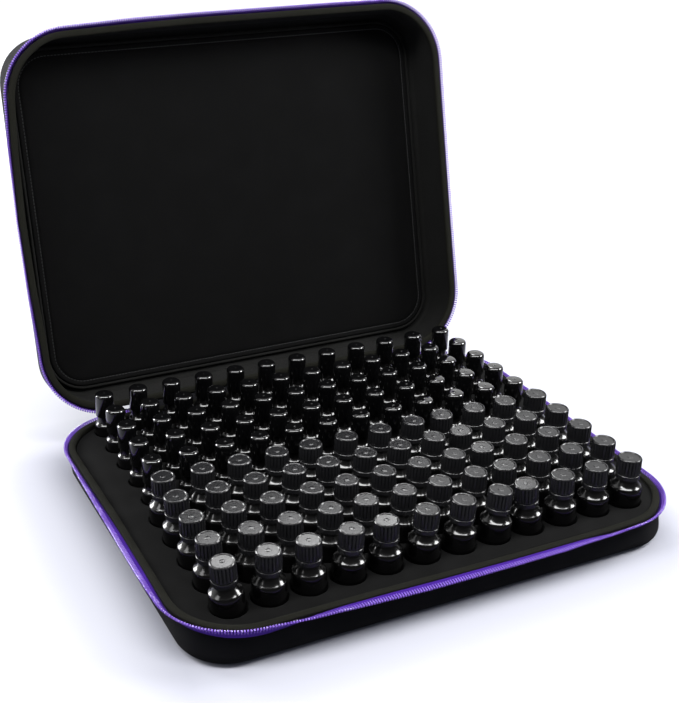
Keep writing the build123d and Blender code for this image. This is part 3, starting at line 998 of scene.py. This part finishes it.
# %% Roller glass and cap
roller_radius, roller_neck, roller_cap = 0.010, 0.0074, 0.00895
roller_body, roller_shoulder, roller_foot, roller_height = 0.0335, 0.039, 0.045, 0.068
roller_side = [
    *stepped(roller_radius, 0, (-13, 0), (-4, 4), (0, 13)),
    *rounding((roller_radius, roller_body), (0.0090, 0.0367), 5, 1.2),
    *stepped(0, 0, (82, 377), (76, 385)), (roller_neck, roller_shoulder)]
row_roller = turn_up("row_roller", roller_side + [(roller_neck, roller_foot + 0.0005)], 32)
smooth(row_roller, 50)

cap_round = 0.0031
cap_side = [
    *stepped(roller_cap, roller_foot, (-8, 0), (-2, 1), (0, 5)),
    *rounding((roller_cap, roller_height - cap_round), (roller_cap - cap_round, roller_height), 8),
    *stepped(0, roller_height, (35.8, 2), (15.4, 2), (11, 3), (6.6, 6), (2.2, 7))]
row_smooth_cap = turn_up("row_smooth_cap", cap_side, 40)
smooth(row_smooth_cap, 50)

# %% Filling the rows
parts_of_kind = {"roller": (row_roller, row_smooth_cap, roller_plastic),
                 "dropper": (row_dropper, row_cap, dropper_plastic)}
for row in range(rows):
    number, kind = row + 1, kind_in(row)
    body, cap, plastic = parts_of_kind[kind]
    glass_node, caps_node = f"{kind}_glass_row_{number}", f"{kind}_caps_row_{number}"
    places = bottle_places(glass_node, caps_node)
    settle(gather(f"{kind}_bottles_{number}", body, places), bottle_glass, f"row_{number}",
           f"{kind}_glass", glass_node)
    settle(gather(f"{kind}_bottle_caps_{number}", cap, places), plastic, f"row_{number}",
           f"{kind}_cap", caps_node)
for prototype in (row_dropper, row_cap, row_roller, row_smooth_cap):
    bpy.data.objects.remove(prototype)


# %% [markdown]
# Two bottles come apart, one of each kind, so they are made in all their pieces. The glass is hollow
# and has beads on its neck for the thread. The dropper bottle has a reducer that lets out single drops,
# and a tamper ring that its cap has broken off from. The roller bottle has a steel ball, which sits in
# a plug with a drawn-in mouth.

# %% The dropper bottle that comes apart
def closed_turn(name, profile, sides):
    """A turned ring: the profile goes all the way round and meets itself."""
    piece = turn_up(name, profile + profile[:1], sides, capped=False)
    edit(piece)
    bpy.ops.mesh.remove_doubles(threshold=1e-6)
    leave_edit(outwards=True)
    return piece


def hollow_bottle(name, side, neck, lip, bore, thickness, beads):
    """Turns up a glass with its hollow, and with a bead on the neck at each of some heights."""
    outside = list(side)
    for height in beads:
        outside += stepped(neck, height, (0, -9.6), (6, -3), (6, 3), (0, 9.6))
    outside += stepped(neck, lip, (0, -4), (-4, 0)) + stepped(bore, lip, (3, 0), (0, -3))
    inside = [(max(bore, radius - thickness), height - 0.0008) for radius, height in side[:2:-1]]
    inside += [(side[3][0] - thickness, 0.0032), (side[3][0] - thickness - 0.0014, 0.0018)]
    return turn_up(name, outside + inside, 48)


place = bottle_places("dropper_glass", "dropper_cap")[0]
ring_top = band_low - 0.0010
bore = dropper_neck + 0.0008
glass = hollow_bottle("sample_dropper_bottle", dropper_side, dropper_neck, dropper_lip, 0.0068, 0.0018,
                      (0.0555, 0.0590))
reducer = closed_turn("sample_orifice_reducer", [
    *stepped(0, 0.0570, (22, 0), (64, 0), (67, 6)),
    *stepped(0, dropper_lip, (67, 0), (76, 0), (77, 9), (74, 12), (40, 12), (34, 4), (22, 2))], 32)
tamper = closed_turn("sample_tamper_ring", [
    *ring_foot, *stepped(cap_radius, ring_top, (0, -4), (-3, 0)), (dropper_neck + 0.0003, ring_top)], 48)
cap = ribbed_cap("sample_ribbed_cap", [
    (bore - 0.0006, 0.0655), (bore, 0.0649), *stepped(bore, band_low, (0, 2), (3, -2)), *ribbed_profile])
for piece, finish, body, slot, node, angle in (
        (glass, bottle_glass, "sample_dropper", "dropper_glass", "dropper_glass", 35),
        (reducer, reducer_plastic, "sample_dropper", "reducer", "dropper_reducer", 35),
        (tamper, dropper_plastic, "sample_dropper", "dropper_cap", "dropper_tamper_ring", 35),
        (cap, dropper_plastic, "sample_dropper_cap", "dropper_cap", "dropper_cap", 26)):
    settle(piece, finish, body, slot, node, place=place, angle=angle)

# %% The roller bottle that comes apart
place = bottle_places("roller_glass", "roller_cap")[0]
roller_lip, ball_radius, ball_middle = 0.049, 0.0046, 0.0507
inner = roller_cap - 0.0012
glass = hollow_bottle("sample_roller_bottle", roller_side, roller_neck, roller_lip, 0.0056, 0.0016, (0.0466,))
housing = closed_turn("sample_ball_housing", [
    *stepped(0, 0.0430, (20, 0), (52, 0), (55, 6)),
    *stepped(0, roller_lip, (55, 0), (64, 0), (66, 4), (66, 28), (58, 36), (44, 36)),
    (0.0048, ball_middle), *stepped(0, ball_middle - ball_radius, (48, 0), (20, -2))], 32)
ball = primitive("sample_steel_ball", bpy.ops.mesh.primitive_uv_sphere_add, segments=32, ring_count=20,
                 radius=ball_radius)
put(ball, Matrix.Translation((0, 0, ball_middle)))
cap = turn_up("sample_smooth_cap", [
    *stepped(inner, roller_height, (-10, -14), (0, -26)), (inner, roller_foot + 0.0003), *cap_side], 40)
for piece, finish, body, slot, node, angle in (
        (glass, bottle_glass, "sample_roller", "roller_glass", "roller_glass", 35),
        (housing, housing_plastic, "sample_roller", "housing", "roller_housing", 35),
        (ball, ball_steel, "sample_roller_ball", "ball_steel", "roller_ball", 60),
        (cap, roller_plastic, "sample_roller_cap", "roller_cap", "roller_cap", 50)):
    settle(piece, finish, body, slot, node, place=place, angle=angle)

# %% [markdown]
# The lid's panel is a board with a thin cushion over it and a piped edge. The cushion is lofted in
# many levels, so that it can crown towards the middle and dip along its sewn line.

# %% Lid panel
panel_width, panel_depth, panel_corner = 0.438, 0.340, 0.038
board = 0.003
cushion_edge, cushion_crown = 0.0034, 0.0024
cushion_back = lid_height - wall - board
seam_inset = 0.0085


def panel_outline(inset, depth):
    return panel_width - 2 * inset, panel_depth - 2 * inset, panel_corner - min(inset, 0.022), -depth


def cushion_height(inset):
    """How far the cushion stands up from its back at an inset from the panel's edge."""
    crown = cushion_crown * (1 - (1 - min(1.0, inset / 0.12)) ** 2)
    channel = 0.0011 * np.exp(-((inset - seam_inset) / 0.0016) ** 2)
    return cushion_edge - 0.0006 + crown - channel


insets = (0.0045, 0.006, 0.0070, 0.0078, 0.0085, 0.0092, 0.0100, 0.0115, 0.014, 0.019, 0.026, 0.036,
          0.050, 0.066, 0.084, 0.104, 0.126)
side_levels = [(0.003, 0), (0.0032, 0.0015), (0.0036, 0.0024)]
cushion_levels = side_levels + [(inset, cushion_height(inset)) for inset in insets]
cushion, per_level = loft("lid_panel_cushion", [panel_outline(inset, cushion_back - height)
                                                for inset, height in cushion_levels],
                          arc_steps=10, side_cuts=30)

# %% The sewn line
stitch_pitch = 0.0034
stitch_radius, stitch_length, stitch_lift = 0.0005, 0.0022, 0.0001
seam_level = len(side_levels) + insets.index(seam_inset)
seam = sorted((v.co.copy() for v in cushion.data.vertices if v.index // per_level == seam_level),
              key=lambda co: atan2(co.y, co.x))
seam.append(seam[0])
walked = np.cumsum([0] + [(b - a).length for a, b in zip(seam, seam[1:])])
stitch_count = int(walked[-1] / stitch_pitch)


def seam_point(stitches):
    """The point on the seam so many stitches along it."""
    distance = walked[-1] * stitches / stitch_count
    return Vector([np.interp(distance, walked, [co[axis] for co in seam]) for axis in range(3)])


stitch = primitive("stitch", bpy.ops.mesh.primitive_cylinder_add, vertices=6, radius=stitch_radius,
                   depth=stitch_length)
stitch_places = []
for number in range(stitch_count):
    here, ahead = seam_point(number + 0.25), seam_point(number + 0.5)
    lifted = Matrix.Translation(here + stitch_lift * up)
    stitch_places.append(place_of["lid"] @ lifted @ turned_to(ahead - here))
stitches = gather("lid_panel_stitches", stitch, stitch_places)
bpy.data.objects.remove(stitch)
face_outwards(stitches)
settle(stitches, thread_cloth, "lid", "panel_cloth", angle=50)
print(stitch_count, "stitches")
map_flat(cushion)
settle(cushion, panel_cloth, "lid", "panel_cloth", "pad_cushion", place=place_of["lid"], angle=50)

# %% [markdown]
# The piping is a cord in a sleeve, lofted from ten rings. They start half a step round, so that no
# two neighbours lie at one height.

# %% Piping
piping = 0.0015
cord = piping - 0.0001
piping_steps = 10
piping_turns = [2 * pi * (step + 0.5) / piping_steps for step in range(piping_steps)]
piped_edge, _ = loft("lid_panel_piping", [
    panel_outline(piping + cord * cos(turn), cushion_back - piping + cord * sin(turn))
    for turn in piping_turns], arc_steps=10, side_cuts=12, closed=True)
map_flat(piped_edge)
# The piping takes the lining's painted-lighter cloth too.
settle(piped_edge, painted_lighter_lining_cloth, "lid", "panel_piping", "pad_piping", place=place_of["lid"], angle=60)

# %% [markdown]
# The small solids that are already right only need a finish.

# %% Finishes of the kept solids
kept = {f"{part}_{side}": zip_metal for part in ("zip_stop", "slider", "pull")
        for side in ("left", "right")}
kept["pad_board"] = stiff_board
for node, finish in kept.items():
    solid = frame["nodes"][node]
    solid.data.materials.clear()
    solid.data.materials.append(finish)
print("finished", len(kept), "kept solids")

# %% [markdown]
# The picture: a pale floor that keeps the shadow, a white surround that only the camera and mirror
# rays see, and soft lamps all round. To the camera the floor glows with the distance from the case,
# so that it runs into the white; beside the case the glow fades to nothing, which paints a soft shade
# round the case on top of its real shadow. In mirror rays that go to the front it is painted dark.

# %% Floor and surround
floor_middle, floor_size = (0, 5.2, 0), (16, 12, 1, 1)
case_half = (0.23, 0.183, 0)
ground = primitive("studio_floor", bpy.ops.mesh.primitive_plane_add, size=1)
ground.data.transform(Matrix.Translation(floor_middle) @ Matrix.Diagonal(floor_size))


def background_rays(recipe):
    """Whether a ray is the camera's own, and whether it is a mirrored or refracted one."""
    ray = recipe.add("LightPath").outputs
    return ray["Is Camera Ray"], recipe.maths("MAXIMUM", ray["Is Glossy Ray"], ray["Is Transmission Ray"])


material, recipe, shader, place = new_finish("studio floor")
camera_ray, mirrored = background_rays(recipe)
beyond = place["Object"]
for operation, *other in (("ABSOLUTE",), ("SUBTRACT", case_half), ("MAXIMUM", (0, 0, 0))):
    beyond = recipe.maths(operation, beyond, *other, kind="VectorMath")
beyond = recipe.maths("LENGTH", beyond, kind="VectorMath", gives="Value")
# Painted shade: the near glow is nothing at the case and grows over 8 cm; the far glow runs into the white.
near, far = recipe.ramp(beyond, 0.0, 0.08, 0.0, 0.30), recipe.ramp(beyond, 0.1, 0.8, 0.0, 0.7)
spot = recipe.add("SeparateXYZ", Vector=place["Object"]).outputs
# Painted dark: mirror rays towards the front see a nearly black floor.
painted_dark_share = recipe.maths("MULTIPLY", mirrored, recipe.ramp(spot["Y"], 0.3, -0.1))
recipe.feed(shader, Roughness=0.9, Specular_IOR_Level=0.0, Emission_Color=(1, 1, 1, 1),
            Base_Color=recipe.mix(painted_dark_share, (0.40, 0.405, 0.45, 1), (0.04, 0.04, 0.045, 1)),
            Emission_Strength=recipe.maths("MULTIPLY", camera_ray, recipe.maths("ADD", near, far)))
ground.data.materials.append(material)

world = bpy.data.worlds.new("surround")
bpy.context.scene.world = world
world.use_nodes = True
recipe = Recipe(world.node_tree)
camera_ray, mirrored = background_rays(recipe)
way = recipe.add("SeparateXYZ", Vector=recipe.add("TexCoord").outputs["Generated"]).outputs
behind = recipe.ramp(way["Y"], -0.1, 0.5, 0.06, 1.0)
white = recipe.maths("MAXIMUM", camera_ray, recipe.maths("MULTIPLY", mirrored, behind))
diffuse = recipe.maths("SUBTRACT", 1.0, recipe.maths("MAXIMUM", camera_ray, mirrored))
recipe.feed(world.node_tree.nodes["Background"],
            Color=recipe.mix(diffuse, (1, 1, 1, 1), (0.78, 0.83, 1.0, 1)),
            Strength=recipe.maths("MULTIPLY_ADD", diffuse, 0.30, white))

# %% Lamps
picture_level = Vector((0.909, -0.417, 0))
lamp_target = Vector((0, 0, 0.05))


def softbox(name, direction, distance, width, height, radiance):
    """A rectangle of light that faces the tray, its width level with the picture. Its power follows
    from how bright its face should be."""
    data = bpy.data.lights.new(name, "AREA")
    data.shape = "RECTANGLE"
    data.size, data.size_y = width, height
    data.energy = 4 * width * height * radiance
    lamp = bpy.data.objects.new(name, data)
    bpy.context.scene.collection.objects.link(lamp)
    aim = Vector(direction).normalized()
    side = (picture_level - picture_level.dot(aim) * aim).normalized()
    lamp.location = lamp_target + aim * distance
    lamp.rotation_euler = Matrix((side, aim.cross(side), aim)).transposed().to_euler()
    print(name, round(data.energy, 1), "W")


softbox("top softbox", (-0.16, -0.30, 0.94), 1.5, 2.2, 0.34, 12)
softbox("right softbox", (0.79, -0.25, 0.56), 1.5, 0.60, 0.60, 15)
softbox("left softbox", (-0.99, -0.10, 0.66), 1.5, 0.40, 0.60, 3)
softbox("rear left softbox", (-0.64, 0.73, 0.26), 1.58, 0.60, 0.60, 14)
softbox("back softbox", (0.22, 0.75, 0.72), 1.6, 0.9, 0.4, 10)

# %% [markdown]
# The camera stands where the photographer stood, to the left of the front and a little above.

# %% Camera
camera_data = bpy.data.cameras.new("camera")
camera_data.sensor_width = 36
camera_data.lens = 62.95
camera_data.shift_x, camera_data.shift_y = 0.0945, -0.0171
camera = bpy.data.objects.new("camera", camera_data)
bpy.context.scene.collection.objects.link(camera)
camera.location = (-0.4787, -0.8610, 0.5999)
camera.rotation_euler = (radians(65.96), radians(-0.11), radians(-24.64))
bpy.context.scene.camera = camera
bpy.context.scene.view_settings.view_transform = "Standard"
